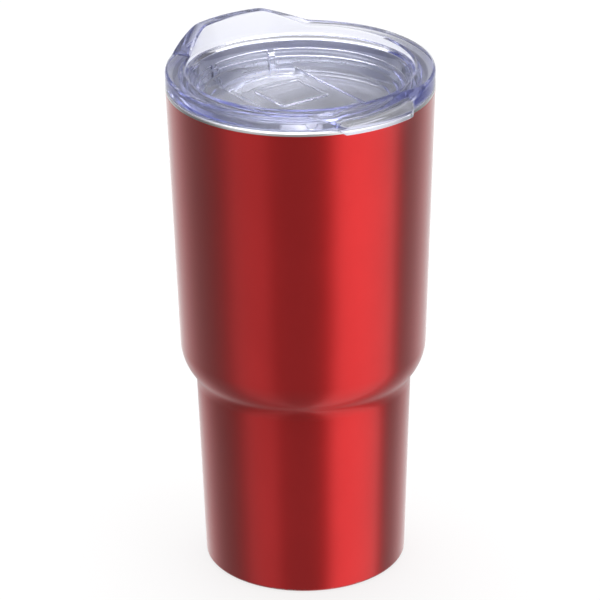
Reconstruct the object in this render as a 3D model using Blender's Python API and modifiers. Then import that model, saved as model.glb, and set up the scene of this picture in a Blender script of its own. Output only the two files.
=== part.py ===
"""Vacuum-insulated tumbler with a clear press-in lid and a sliding drink closure.

Metres, +Z up. The origin is the centre of the base, on the surface that the tumbler stands on.
The lid's drinking side faces +Y and its lift tab faces -Y; the part is symmetric about X = 0.
"""

from math import acos, asin, atan2, cos, degrees, hypot, pi, radians, sin, sqrt, tan

import bmesh
import bpy

MM = 0.001
GAP = 0.3 * MM  # clearance between pieces that touch on the real object
OVER = 1.0 * MM  # how far a cutter runs past the wall that it cuts

# Facets round each turned piece
SHELL_SIDES = 48
INNER_SIDES = 32
LID_SIDES = 72
BEAD_SIDES = 24
ARC_STEPS = 3
MERGE = 1e-5

# Outer wall: corners of its outline, and the radii that round them
RIM_R, RIM_Z = 44.0 * MM, 169.0 * MM
SHOULDER_R, SHOULDER_Z, SHOULDER_ROUND = 40.94 * MM, 74.46 * MM, 16.0 * MM
WAIST_R, WAIST_Z, WAIST_ROUND = 36.0 * MM, 67.3 * MM, 2.5 * MM
FOOT_R, FOOT_ROUND = 33.87 * MM, 1.4 * MM
FOOT_INNER_R = 30.6 * MM
OUTER_WALL_T = 0.6 * MM

# Liner and the vacuum space round it
VACUUM_GAP = 2.2 * MM
LINER_T = 0.5 * MM
LINER_OUT = OUTER_WALL_T + VACUUM_GAP
LINER_IN = LINER_OUT + LINER_T
LIP_T = 0.7 * MM
LIP_TOP = RIM_Z + GAP + LIP_T
LIP_FLARE_Z = 167.0 * MM
LINER_LOW_Z = 11.5 * MM
LINER_FLOOR_Z = 8.0 * MM
LINER_CORNER = 3.2 * MM
FOIL_OFF = LINER_OUT - 0.4 * MM
FOIL_T = 0.3 * MM
FOIL_LOW_Z, FOIL_HIGH_Z = 20.0 * MM, 158.0 * MM

# Base cup, its evacuation dimple, and the disc that covers it
BASE_R = FOOT_INNER_R - GAP
BASE_T = 0.6 * MM
BASE_Z = 2.8 * MM
DIMPLE_R, DIMPLE_Z = 6.5 * MM, 4.8 * MM
PORT_R = 1.5 * MM
COVER_R, COVER_Z, COVER_T = 29.2 * MM, 0.8 * MM, 0.7 * MM
GETTER_R, GETTER_T, GETTER_X = 4.0 * MM, 1.2 * MM, 17.0 * MM
CLIP_HALF, CLIP_FOOT = 1.5 * MM, 2.2 * MM

# Lid
LID_SEAT_Z = LIP_TOP + GAP
LID_R = 44.0 * MM
LID_TOP_Z = 176.0 * MM
SPOUT_RISE = 5.2 * MM
SPOUT_FLAT_DEG, SPOUT_END_DEG, SPOUT_BEND_DEG = 17.5, 38.5, 4.0
TAB_REACH = 2.0 * MM
TAB_DROP = 0.9 * MM
TAB_FLAT_DEG, TAB_END_DEG, SCOOP_END_DEG = 16.2, 20.2, 33.0
DECK_Z = 164.8 * MM
LID_FLOOR_Z = 162.7 * MM
LID_UNDER_Z = 160.7 * MM
SKIRT_R, SKIRT_IN_R, SKIRT_LOW_Z = 39.4 * MM, 36.9 * MM, 158.6 * MM
GROOVE_R, GROOVE_LOW_Z, GROOVE_HIGH_Z = 38.4 * MM, 161.9 * MM, 164.9 * MM
GUSSET_DEG, GUSSET_T = 19.0, 2.0 * MM

# Channel in the lid that guides the slider
CHANNEL_R = 29.2 * MM
RAIL_HALF, RAIL_TOP_Z = 15.3 * MM, 164.3 * MM
MOUTH_HALF = 14.7 * MM
HOLE_MID_R, HOLE_HALF, HOLE_HALF_DEG = 26.2 * MM, 2.1 * MM, 22.5
VENT_R, VENT_Y = 0.9 * MM, -25.5 * MM
GATE_DEG, GATE_R, GATE_DEPTH, GATE_Z = -120.5, 2.0 * MM, 0.8 * MM, 173.4 * MM

# Slider, drawn open; it closes over the drinking hole when it is moved forward by CLOSE_TRAVEL
CLOSE_TRAVEL = 5.3 * MM
FLANGE_R = CHANNEL_R - 0.2 * MM
FLANGE_Z, FLANGE_TOP_Z, FLANGE_HALF = 163.0 * MM, 164.0 * MM, 14.9 * MM
PLATE_TOP_Z, PLATE_HALF, PLATE_STEP = 164.7 * MM, 14.3 * MM, 0.25 * MM
TAIL_Y, TAIL_CORNER = -14.0 * MM, 2.5 * MM
SHOULDER_Y, NOSE_HALF, NOSE_CORNER = 13.8 * MM, 7.1 * MM, 1.2 * MM
PAD_HALF, PAD_TAIL_Y, PAD_FRONT_Y, PAD_TOP_Z = 9.1 * MM, -3.4 * MM, 14.2 * MM, 165.4 * MM
PAD_RIM, PAD_SINK = 1.3 * MM, 0.35 * MM
SEAL_HALF, SEAL_T = HOLE_HALF + 0.2 * MM, 0.3 * MM


# ---------------------------------------------------------------- scene and materials


def clear_scene():
    for obj in list(bpy.data.objects):
        bpy.data.objects.remove(obj, do_unlink=True)


def new_collection(name, hidden=False):
    made = bpy.data.collections.new(name)
    bpy.context.scene.collection.children.link(made)
    made.hide_render = hidden
    return made


def material(name, colour, roughness, metallic=0.0, transmission=0.0):
    made = bpy.data.materials.new(name)
    made.use_nodes = True
    shader = made.node_tree.nodes["Principled BSDF"]
    shader.inputs["Base Color"].default_value = (*colour, 1.0)
    shader.inputs["Roughness"].default_value = roughness
    shader.inputs["Metallic"].default_value = metallic
    shader.inputs["Transmission Weight"].default_value = transmission
    made.diffuse_color = (*colour, 1.0)
    return made


def add_object(name, mesh, home, finish=None):
    obj = bpy.data.objects.new(name, mesh)
    home.objects.link(obj)
    if finish:
        mesh.materials.append(finish)
    return obj


def smooth(mesh, degrees_sharp=35.0):
    mesh.shade_smooth()
    mesh.set_sharp_from_angle(angle=radians(degrees_sharp))


# ---------------------------------------------------------------- outlines


def rounded(corners, steps=ARC_STEPS):
    """A path through the corners (x, y, radius), with each corner that has a radius drawn as an arc.

    A radius on the first or the last corner is for a path that closes on itself.
    """
    path = []
    for index, (x, y, radius) in enumerate(corners):
        if not radius:
            path.append((x, y))
            continue
        before, after = corners[index - 1], corners[(index + 1) % len(corners)]
        ax, ay = before[0] - x, before[1] - y
        bx, by = after[0] - x, after[1] - y
        a_len, b_len = hypot(ax, ay), hypot(bx, by)
        ax, ay, bx, by = ax / a_len, ay / a_len, bx / b_len, by / b_len
        half = abs(atan2(ax * by - ay * bx, ax * bx + ay * by)) / 2
        reach = radius / tan(half)
        mid_x, mid_y = ax + bx, ay + by
        away = radius / sin(half) / hypot(mid_x, mid_y)
        cx, cy = x + mid_x * away, y + mid_y * away
        start = atan2(y + ay * reach - cy, x + ax * reach - cx)
        end = atan2(y + by * reach - cy, x + bx * reach - cx)
        turn = (end - start + pi) % (2 * pi) - pi
        for step in range(steps + 1):
            angle = start + turn * step / steps
            path.append((cx + radius * cos(angle), cy + radius * sin(angle)))
    return path


def offset_path(path, depth):
    """The path moved by depth to its right-hand side, which is inwards on a wall that runs down."""
    moved = []
    for index, (x, y) in enumerate(path):
        before = path[max(index - 1, 0)]
        after = path[min(index + 1, len(path) - 1)]
        dx1, dy1 = x - before[0], y - before[1]
        dx2, dy2 = after[0] - x, after[1] - y
        len1, len2 = hypot(dx1, dy1) or 1.0, hypot(dx2, dy2) or 1.0
        nx, ny = dy1 / len1 + dy2 / len2, -dx1 / len1 - dx2 / len2
        size = hypot(nx, ny)
        share = 2 / size**2 if hypot(dx1, dy1) and hypot(dx2, dy2) else 1 / size
        moved.append((x + nx * share * depth, y + ny * share * depth))
    return moved


def between(path, high, low):
    """The part of a path that runs down from z = high to z = low."""
    kept = []
    for (x1, z1), (x2, z2) in zip(path, path[1:]):
        if z1 > high > z2:
            kept.append((x1 + (x2 - x1) * (z1 - high) / (z1 - z2), high))
        if low < z2 < high:
            kept.append((x2, z2))
        if z1 > low > z2:
            kept.append((x1 + (x2 - x1) * (z1 - low) / (z1 - z2), low))
    return kept


def arc(radius, start_deg, end_deg, steps, centre=(0.0, 0.0)):
    span = end_deg - start_deg
    angles = [radians(start_deg + span * step / steps) for step in range(steps + 1)]
    return [(centre[0] + radius * cos(a), centre[1] + radius * sin(a)) for a in angles]


def side_path():
    """The outer wall's outline, from the rim straight down to the ground."""
    return rounded(
        [
            (RIM_R, RIM_Z, 0),
            (SHOULDER_R, SHOULDER_Z, SHOULDER_ROUND),
            (WAIST_R, WAIST_Z, WAIST_ROUND),
            (FOOT_R, 0.0, 0),
        ]
    )


# ---------------------------------------------------------------- solids


def turned(name, outline, home, finish=None, sides=SHELL_SIDES, closed=True):
    """A solid turned about Z. The outline runs down its outer side; an open one ends on the axis."""
    mesh = bpy.data.meshes.new(name)
    edges = [(i, i + 1) for i in range(len(outline) - 1)]
    if closed:
        edges.append((len(outline) - 1, 0))
    mesh.from_pydata([(x, 0.0, z) for x, z in outline], edges, [])
    obj = add_object(name, mesh, home, finish)
    screw = obj.modifiers.new("turn", "SCREW")
    screw.steps = screw.render_steps = sides
    screw.use_merge_vertices = True
    screw.merge_threshold = MERGE
    screw.use_smooth_shade = True
    return obj


def extruded(name, outline, low, high, home, finish=None):
    """A flat outline in XY made solid from z = low to z = high."""
    curve = bpy.data.curves.new(name, "CURVE")
    curve.dimensions = "2D"
    curve.fill_mode = "BOTH"
    curve.extrude = (high - low) / 2
    spline = curve.splines.new("POLY")
    spline.points.add(len(outline) - 1)
    for point, (x, y) in zip(spline.points, outline):
        point.co = (x, y, 0.0, 1.0)
    spline.use_cyclic_u = True
    guide = bpy.data.objects.new(name + "_outline", curve)
    home.objects.link(guide)
    guide.location.z = (high + low) / 2
    bpy.context.view_layer.update()
    graph = bpy.context.evaluated_depsgraph_get()
    mesh = bpy.data.meshes.new_from_object(guide.evaluated_get(graph))
    mesh.name = name
    mesh.materials.clear()
    place = guide.matrix_world.copy()
    bpy.data.objects.remove(guide, do_unlink=True)
    weld_and_orient(mesh)
    obj = add_object(name, mesh, home, finish)
    obj.matrix_world = place
    return obj


def weld_and_orient(mesh):
    work = bmesh.new()
    work.from_mesh(mesh)
    bmesh.ops.remove_doubles(work, verts=work.verts, dist=MERGE)
    bmesh.ops.recalc_face_normals(work, faces=work.faces)
    work.to_mesh(mesh)
    work.free()


def box(name, low, high, home, finish=None, edge=0.0):
    """A block between two corners, its edges rounded by the given radius."""
    work = bmesh.new()
    bmesh.ops.create_cube(work, size=1.0)
    for vert in work.verts:
        vert.co = [low[i] + (high[i] - low[i]) * (vert.co[i] + 0.5) for i in range(3)]
    if edge:
        bmesh.ops.bevel(work, geom=work.edges, offset=edge, segments=2, profile=0.5, affect="EDGES")
    mesh = bpy.data.meshes.new(name)
    work.to_mesh(mesh)
    work.free()
    return add_object(name, mesh, home, finish)


def cylinder(name, radius, low, high, home, finish=None, place=(0.0, 0.0), sides=BEAD_SIDES):
    bpy.ops.mesh.primitive_cylinder_add(
        vertices=sides,
        radius=radius,
        depth=high - low,
        location=(place[0], place[1], (high + low) / 2),
    )
    obj = bpy.context.object
    obj.name = name
    for collection in list(obj.users_collection):
        collection.objects.unlink(obj)
    home.objects.link(obj)
    if finish:
        obj.data.materials.append(finish)
    return obj


def boolean(obj, other, operation):
    step = obj.modifiers.new(other.name, "BOOLEAN")
    step.operation = operation
    step.object = other
    step.solver = "EXACT"


def cut(obj, *cutters):
    for cutter in cutters:
        boolean(obj, cutter, "DIFFERENCE")


def join(obj, *others):
    for other in others:
        boolean(obj, other, "UNION")


def hide_cutters(home):
    for obj in home.objects:
        obj.hide_render = True
        obj.display_type = "WIRE"


# ---------------------------------------------------------------- cup


def make_outer_wall(home, finish):
    outside = rounded(
        [
            (RIM_R, RIM_Z, 0),
            (SHOULDER_R, SHOULDER_Z, SHOULDER_ROUND),
            (WAIST_R, WAIST_Z, WAIST_ROUND),
            (FOOT_R, 0.0, FOOT_ROUND),
            (FOOT_INNER_R, 0.0, 0),
        ]
    )
    inside = offset_path(outside, OUTER_WALL_T)
    return turned("outer_wall", outside + inside[::-1], home, finish)


def make_liner_wall(home, finish):
    """The inner wall, whose mouth turns outwards over the outer wall as a polished lip."""
    under_lip = LIP_TOP - LIP_T
    out_side = between(offset_path(side_path(), LINER_OUT), LIP_FLARE_Z, LINER_LOW_Z)
    in_side = between(offset_path(side_path(), LINER_IN), LIP_FLARE_Z, LINER_LOW_Z)
    lip_top = rounded(
        [
            (in_side[0][0], LIP_FLARE_Z, 0),
            (in_side[0][0] + 0.2 * MM, LIP_TOP, 1.0 * MM),
            (RIM_R, LIP_TOP, 0.5 * MM),
            (RIM_R, under_lip, 0),
        ]
    )
    lip_under = [(out_side[0][0] + 0.2 * MM, under_lip)]
    outline = lip_top + lip_under + out_side + in_side[:0:-1]
    return turned("liner_wall", outline, home, finish)


def make_liner_bottom(home, finish):
    """The dished bottom, butt-welded to the liner wall's lower edge."""
    top_z = LINER_LOW_Z - GAP
    out_r = between(offset_path(side_path(), LINER_OUT), RIM_Z, top_z)[-1][0]
    in_r = out_r - LINER_T
    outside = rounded(
        [(out_r, top_z, 0), (out_r, LINER_FLOOR_Z - LINER_T, LINER_CORNER), (0.0, LINER_FLOOR_Z - LINER_T, 0)]
    )
    inside = rounded(
        [(0.0, LINER_FLOOR_Z, 0), (in_r, LINER_FLOOR_Z, LINER_CORNER - LINER_T), (in_r, top_z, 0)]
    )
    # The loop opens at the axis, so the outline starts and ends there.
    return turned("liner_bottom", inside + outside, home, finish, INNER_SIDES, closed=False)


def make_liner_foil(home, finish):
    """Copper foil wrapped round the liner inside the vacuum space."""
    out_side = between(offset_path(side_path(), FOIL_OFF - FOIL_T), FOIL_HIGH_Z, FOIL_LOW_Z)
    in_side = between(offset_path(side_path(), FOIL_OFF), FOIL_HIGH_Z, FOIL_LOW_Z)
    return turned("liner_foil", out_side + in_side[::-1], home, finish, INNER_SIDES)


def make_outer_base(home, finish):
    """A pressed cup welded inside the foot, with a dimple round the evacuation port."""
    top = [
        (PORT_R, DIMPLE_Z, 0),
        (DIMPLE_R, DIMPLE_Z, 1.0 * MM),
        (DIMPLE_R + 1.5 * MM, BASE_Z, 1.0 * MM),
        (BASE_R, BASE_Z, 1.2 * MM),
        (BASE_R, GAP, 0),
    ]
    bottom = [
        (BASE_R - BASE_T, GAP, 0),
        (BASE_R - BASE_T, BASE_Z - BASE_T, 0.6 * MM),
        (DIMPLE_R + 1.0 * MM, BASE_Z - BASE_T, 1.0 * MM),
        (DIMPLE_R - BASE_T, DIMPLE_Z - BASE_T, 1.0 * MM),
        (PORT_R, DIMPLE_Z - BASE_T, 0),
    ]
    outline = rounded(top, 2) + rounded(bottom, 2)
    return turned("outer_base", outline, home, finish, INNER_SIDES)


def make_base_cover(home, finish):
    low, high = COVER_Z, COVER_Z + COVER_T
    outline = rounded([(0.0, high, 0), (COVER_R, high, 0.25 * MM), (COVER_R, low, 0.25 * MM), (0.0, low, 0)], 2)
    return turned("base_cover", outline, home, finish, INNER_SIDES, closed=False)


def make_vacuum_plug(home, finish):
    """The bead that seals the evacuation port, with a head under the dimple."""
    plug_r, head_r = PORT_R - GAP, 2.0 * PORT_R
    head_top = DIMPLE_Z - BASE_T - GAP
    outline = [
        (0.0, DIMPLE_Z, 0),
        (plug_r, DIMPLE_Z, 0.3 * MM),
        (plug_r, head_top, 0),
        (head_r, head_top, 0),
        (head_r - 0.8 * MM, head_top - 1.0 * MM, 0.8 * MM),
        (0.0, head_top - 1.2 * MM, 0),
    ]
    turned("vacuum_plug", rounded(outline, 2), home, finish, BEAD_SIDES, closed=False)


def make_getter(home, finish):
    low = BASE_Z + GAP
    cylinder("getter", GETTER_R, low, low + GETTER_T, home, finish, (GETTER_X, 0.0))


def make_getter_clip(home, cutters, finish):
    """A thin strap bridged over the getter, with a welded foot at each end."""
    low = BASE_Z + GAP
    high = low + GETTER_T + GAP
    reach = GETTER_R + GAP
    end = reach + CLIP_FOOT
    strap = box(
        "getter_clip",
        (GETTER_X - end, -CLIP_HALF, low),
        (GETTER_X + end, CLIP_HALF, high + GAP),
        home,
        finish,
    )
    hollow = box(
        "clip_hollow",
        (GETTER_X - reach, -CLIP_HALF - OVER, low - OVER),
        (GETTER_X + reach, CLIP_HALF + OVER, high),
        cutters,
    )
    cut(strap, hollow)
    for name, side in (("left", -1), ("right", 1)):
        across = sorted((GETTER_X + side * (reach + GAP), GETTER_X + side * (end + OVER)))
        trim = box(
            f"clip_trim_{name}",
            (across[0], -CLIP_HALF - OVER, low + GAP),
            (across[1], CLIP_HALF + OVER, high + OVER),
            cutters,
        )
        cut(strap, trim)


# ---------------------------------------------------------------- lid


def ease(value):
    """From 0 to 1 as the value goes from 0 to 1, slow at both ends."""
    value = min(max(value, 0.0), 1.0)
    return value * value * (3 - 2 * value)


def ramp(value, start, end, bend):
    """From 0 at start to 1 at end in a straight line, whose two corners are rounded over a width of bend."""
    slope = 1 / (end - start)

    def bent(distance):
        if abs(distance) < bend / 2:
            return (distance + bend / 2) ** 2 / (2 * bend)
        return max(distance, 0.0)

    return slope * (bent(value - start) - bent(value - end))


def away_from(angle_deg, centre_deg):
    return abs((angle_deg - centre_deg + 180) % 360 - 180)


def lid_section(angle_deg):
    """The lid's outline at one angle, from the top's centre out, down the outside and back underneath."""
    off_spout = away_from(angle_deg, 90.0)
    off_tab = away_from(angle_deg, -90.0)
    rise = 1 - ramp(off_spout, SPOUT_FLAT_DEG, SPOUT_END_DEG, SPOUT_BEND_DEG)
    push = 1 - ease((off_tab - TAB_FLAT_DEG) / (TAB_END_DEG - TAB_FLAT_DEG))
    scoop = 1 - ease((off_tab - TAB_FLAT_DEG) / (SCOOP_END_DEG - TAB_FLAT_DEG))
    lift = SPOUT_RISE * rise
    reach, drop = TAB_REACH * push, TAB_DROP * push
    seat = LID_SEAT_Z
    recess = [
        (29.5 * MM, DECK_Z),
        (31.4 * MM, 166.6 * MM),
        (32.2 * MM, 166.7 * MM),
        (33.2 * MM, 168.4 * MM),
        (34.0 * MM, 168.5 * MM),
        (36.3 * MM, 173.6 * MM),
        (36.7 * MM, 173.8 * MM),
    ]
    flange_top = [
        (37.4 * MM + 2.4 * MM * rise, LID_TOP_Z - 0.4 * MM + lift),
        (38.2 * MM + 2.2 * MM * rise, LID_TOP_Z + lift),
        (43.2 * MM - 1.6 * MM * scoop, LID_TOP_Z + lift),
        (43.8 * MM + 1.5 * MM * push, LID_TOP_Z - 0.3 * MM + lift - 2.8 * MM * scoop),
        (LID_R + reach, LID_TOP_Z - 0.9 * MM + lift - 2.9 * MM * scoop),
    ]
    flange_under = [
        (LID_R + reach, seat + 0.6 * MM - drop),
        (LID_R - 0.4 * MM + reach, seat - drop),
        (LID_R - 0.7 * MM + 1.05 * MM * push, seat - drop),
        (LID_R - 1.1 * MM + 1.4 * MM * push, seat),
        (SKIRT_R + 0.4 * MM, seat),
    ]
    skirt = [
        (SKIRT_R, seat - 0.4 * MM),
        (SKIRT_R, GROOVE_HIGH_Z),
        (GROOVE_R, GROOVE_HIGH_Z),
        (GROOVE_R, GROOVE_LOW_Z),
        (SKIRT_R, GROOVE_LOW_Z),
        (SKIRT_R - 0.2 * MM, SKIRT_LOW_Z + 0.5 * MM),
        (SKIRT_R - 0.7 * MM, SKIRT_LOW_Z),
        (SKIRT_IN_R + 0.6 * MM, SKIRT_LOW_Z),
        (SKIRT_IN_R + 0.1 * MM, SKIRT_LOW_Z + 0.5 * MM),
    ]
    underside = [
        (SKIRT_IN_R, 168.0 * MM),
        (36.45 * MM, 168.6 * MM),
        (36.0 * MM, 168.2 * MM),
        (33.9 * MM, 165.0 * MM),
        (29.8 * MM, LID_UNDER_Z),
    ]
    return recess + flange_top + flange_under + skirt + underside


def lofted_lid(home, finish):
    """Lid body without its cuts: one section at each angle, joined round, with the floor closed in the middle."""
    work = bmesh.new()
    rings = []
    for side in range(LID_SIDES):
        angle = 360.0 * side / LID_SIDES
        turn = radians(angle)
        rings.append([work.verts.new((r * cos(turn), r * sin(turn), z)) for r, z in lid_section(angle)])
    work.faces.new([ring[0] for ring in rings])
    work.faces.new([ring[-1] for ring in reversed(rings)])
    for ring, following in zip(rings, rings[1:] + rings[:1]):
        for a, b, c, d in zip(ring, ring[1:], following[1:], following):
            work.faces.new((a, b, c, d))
    bmesh.ops.recalc_face_normals(work, faces=work.faces)
    mesh = bpy.data.meshes.new("lid_body")
    work.to_mesh(mesh)
    work.free()
    smooth(mesh)
    return add_object("lid_body", mesh, home, finish)


def round_slot(mid_r, half, half_deg, steps=10):
    """A slot bent round the Z axis and centred on +Y, with round ends."""
    first, last = 90.0 - half_deg, 90.0 + half_deg
    low_end = (mid_r * cos(radians(first)), mid_r * sin(radians(first)))
    high_end = (mid_r * cos(radians(last)), mid_r * sin(radians(last)))
    outline = arc(mid_r + half, first, last, steps)
    outline += arc(half, last, last + 180.0, steps, high_end)[1:-1]
    outline += arc(mid_r - half, last, first, steps)
    outline += arc(half, first + 180.0, first + 360.0, steps, low_end)[1:-1]
    return outline


def channel_outline(half_width):
    """A round pocket kept only within half_width of X = 0."""
    corner = degrees(acos(half_width / CHANNEL_R))
    back = arc(CHANNEL_R, corner, 180.0 - corner, 16)
    return back + arc(CHANNEL_R, 180.0 + corner, 360.0 - corner, 16)


def cut_lid(lid, cutters):
    """Cuts the slider's channel, the drinking hole and the vent."""
    overlap = 0.4 * MM
    rails = extruded("channel_rails", channel_outline(RAIL_HALF), LID_FLOOR_Z, RAIL_TOP_Z, cutters)
    mouth = extruded("channel_mouth", channel_outline(MOUTH_HALF), RAIL_TOP_Z - overlap, DECK_Z + OVER, cutters)
    slot = round_slot(HOLE_MID_R, HOLE_HALF, HOLE_HALF_DEG)
    hole = extruded("drink_hole", slot, LID_UNDER_Z - OVER, LID_FLOOR_Z + overlap, cutters)
    vent = cylinder("vent_hole", VENT_R, LID_UNDER_Z - OVER, LID_FLOOR_Z + overlap, cutters, place=(0.0, VENT_Y))
    cut(lid, rails, mouth, hole, vent)


def cut_gate_mark(lid, cutters):
    """The half-round notch that the moulding gate leaves in the flange's outer face."""
    turn = radians(GATE_DEG)
    notch = cylinder("gate_notch", GATE_R, -GATE_DEPTH, GATE_DEPTH, cutters)
    notch.location = (LID_R * cos(turn), LID_R * sin(turn), GATE_Z)
    notch.rotation_euler = (0.0, pi / 2, turn)
    reach = 3.0 * GATE_R
    trim = box("gate_notch_lower_half", (-reach, -reach, -reach), (0.0, reach, reach), cutters)
    trim.location = notch.location
    trim.rotation_euler = notch.rotation_euler
    cut(notch, trim)
    cut(lid, notch)


def add_gussets(lid, cutters):
    """Two ribs between the recess wall and the skirt, either side of the drinking side."""
    for name, angle in (("left", 90.0 + GUSSET_DEG), ("right", 90.0 - GUSSET_DEG)):
        rib = box(
            f"gusset_{name}",
            (34.6 * MM, -GUSSET_T / 2, 161.5 * MM),
            (SKIRT_IN_R + 0.5 * MM, GUSSET_T / 2, 168.9 * MM),
            cutters,
        )
        rib.rotation_euler.z = radians(angle)
        join(lid, rib)


def make_lid_seal(home, finish):
    """Silicone ring in the skirt's groove, with two lips that wipe the liner."""
    low, high = GROOVE_LOW_Z + GAP, GROOVE_HIGH_Z - GAP
    root, body, lip = GROOVE_R + GAP, 39.5 * MM, 40.1 * MM
    mid = (low + high) / 2
    outline = [
        (root, high),
        (body, high),
        (lip, high - 0.3 * MM),
        (lip, high - 0.6 * MM),
        (body, mid),
        (lip, low + 0.6 * MM),
        (lip, low + 0.3 * MM),
        (body, low),
        (root, low),
    ]
    return turned("lid_seal", outline, home, finish, SHELL_SIDES)


# ---------------------------------------------------------------- slider


def slider_loop(right_corners, inset, arc_half, steps=10):
    """A closed outline: corners down the right-hand side, tail first, then a front edge that fits the
    channel's end when the slider is closed, then the same corners on the left."""
    radius = FLANGE_R - inset
    spread = degrees(asin(arc_half / radius))
    front = arc(radius, 90.0 - spread, 90.0 + spread, steps, (0.0, -CLOSE_TRAVEL))
    left_corners = [(-x, y, corner) for x, y, corner in reversed(right_corners)]
    return rounded(right_corners + [(x, y, 0) for x, y in front] + left_corners)


def front_y(x, inset):
    """Where the front edge crosses x."""
    return sqrt((FLANGE_R - inset) ** 2 - x**2) - CLOSE_TRAVEL


def flange_outline():
    corners = [(FLANGE_HALF, TAIL_Y, TAIL_CORNER), (FLANGE_HALF, front_y(FLANGE_HALF, 0.0), NOSE_CORNER)]
    return slider_loop(corners, 0.0, FLANGE_HALF - 2.0 * NOSE_CORNER)


def plate_outline():
    """The upper plate: its front corners are cut away, which leaves a nose as wide as the thumb pad."""
    corners = [
        (PLATE_HALF, TAIL_Y + PLATE_STEP, TAIL_CORNER),
        (PLATE_HALF, SHOULDER_Y, NOSE_CORNER),
        (NOSE_HALF, front_y(NOSE_HALF, PLATE_STEP), NOSE_CORNER),
    ]
    return slider_loop(corners, PLATE_STEP, NOSE_HALF - NOSE_CORNER)


def seal_outline(margin=0.0):
    """The drinking hole's own shape, a little larger, where it lies under the open slider."""
    slot = round_slot(HOLE_MID_R, SEAL_HALF + margin, HOLE_HALF_DEG)
    return [(x, y - CLOSE_TRAVEL) for x, y in slot]


def make_slider_plate(home, cutters, finish):
    """A flange that runs under the channel's rails, a plate on it, and a thumb pad with a sunk middle."""
    overlap = 0.5 * MM
    plate = extruded("slider_plate", flange_outline(), FLANGE_Z, FLANGE_TOP_Z, home, finish)
    top = extruded("slider_top", plate_outline(), FLANGE_TOP_Z - overlap, PLATE_TOP_Z, cutters)
    pad_low = (-PAD_HALF, PAD_TAIL_Y, PLATE_TOP_Z - overlap)
    pad = box("thumb_pad", pad_low, (PAD_HALF, PAD_FRONT_Y, PAD_TOP_Z), cutters, edge=0.3 * MM)
    join(plate, top, pad)
    sunk_low = (-PAD_HALF + PAD_RIM, PAD_TAIL_Y + PAD_RIM, PAD_TOP_Z - PAD_SINK)
    sunk_high = (PAD_HALF - PAD_RIM, PAD_FRONT_Y - PAD_RIM, PAD_TOP_Z + OVER)
    sunk = box("thumb_pad_middle", sunk_low, sunk_high, cutters)
    pocket = extruded("seal_pocket", seal_outline(GAP), FLANGE_Z - OVER, FLANGE_Z + SEAL_T + GAP, cutters)
    cut(plate, sunk, pocket)


def make_slider_seal(home, finish):
    """Silicone pad in the underside of the nose, which covers the drinking hole."""
    extruded("slider_seal", seal_outline(), FLANGE_Z, FLANGE_Z + SEAL_T, home, finish)


# ---------------------------------------------------------------- build


def main():
    clear_scene()
    parts = new_collection("insulated_tumbler")
    cutters = new_collection("cutters", hidden=True)

    red = material("red_coated_steel", (0.42, 0.02, 0.025), 0.3, 0.9)
    steel = material("brushed_steel", (0.62, 0.62, 0.63), 0.3, 1.0)
    copper = material("copper_foil", (0.72, 0.36, 0.22), 0.35, 1.0)
    bead = material("sealing_glass", (0.2, 0.25, 0.3), 0.15)
    grey = material("getter_grey", (0.25, 0.25, 0.26), 0.7, 0.4)
    clear = material("clear_plastic", (0.82, 0.84, 0.95), 0.04, 0.0, 1.0)
    silicone = material("clear_silicone", (0.85, 0.86, 0.9), 0.5)

    make_outer_wall(parts, red)
    make_liner_wall(parts, steel)
    make_liner_bottom(parts, steel)
    make_liner_foil(parts, copper)
    make_outer_base(parts, steel)
    make_base_cover(parts, steel)
    make_vacuum_plug(parts, bead)
    make_getter(parts, grey)
    make_getter_clip(parts, cutters, steel)

    lid = lofted_lid(parts, clear)
    add_gussets(lid, cutters)
    cut_lid(lid, cutters)
    cut_gate_mark(lid, cutters)
    make_lid_seal(parts, silicone)

    make_slider_plate(parts, cutters, clear)
    make_slider_seal(parts, silicone)
    hide_cutters(cutters)


main()
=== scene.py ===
"""Looks of the insulated tumbler: fine meshes, materials, studio light and camera round the CAD frame.

Metres, +Z up. +Y is the lid's drinking side and -Y its lift tab.
"""

from math import acos, asin, atan2, cos, degrees, hypot, pi, radians, sin, sqrt, tan

import bmesh
import bpy
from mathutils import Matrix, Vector


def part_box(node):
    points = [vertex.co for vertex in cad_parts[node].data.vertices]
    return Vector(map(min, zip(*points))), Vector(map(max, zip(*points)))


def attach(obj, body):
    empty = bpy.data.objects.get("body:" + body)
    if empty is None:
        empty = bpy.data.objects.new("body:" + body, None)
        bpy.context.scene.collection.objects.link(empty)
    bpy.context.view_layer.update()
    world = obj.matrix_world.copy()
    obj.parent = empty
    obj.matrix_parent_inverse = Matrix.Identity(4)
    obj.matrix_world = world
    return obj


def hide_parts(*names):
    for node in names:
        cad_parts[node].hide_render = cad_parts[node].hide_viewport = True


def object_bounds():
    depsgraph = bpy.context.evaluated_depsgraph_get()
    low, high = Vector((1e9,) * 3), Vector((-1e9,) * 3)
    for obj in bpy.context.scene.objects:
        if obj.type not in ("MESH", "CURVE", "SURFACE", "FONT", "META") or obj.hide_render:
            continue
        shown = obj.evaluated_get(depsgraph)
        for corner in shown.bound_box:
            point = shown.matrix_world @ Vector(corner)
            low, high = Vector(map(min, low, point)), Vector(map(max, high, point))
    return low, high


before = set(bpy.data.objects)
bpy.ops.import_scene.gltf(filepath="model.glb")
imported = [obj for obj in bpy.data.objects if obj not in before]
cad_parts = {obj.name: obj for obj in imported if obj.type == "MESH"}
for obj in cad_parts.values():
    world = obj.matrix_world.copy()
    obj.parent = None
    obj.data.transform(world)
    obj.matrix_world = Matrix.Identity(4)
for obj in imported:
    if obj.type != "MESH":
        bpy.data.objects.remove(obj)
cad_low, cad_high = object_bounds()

MM = 0.001

# ---------------------------------------------------------------- measures taken from the frame

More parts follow.
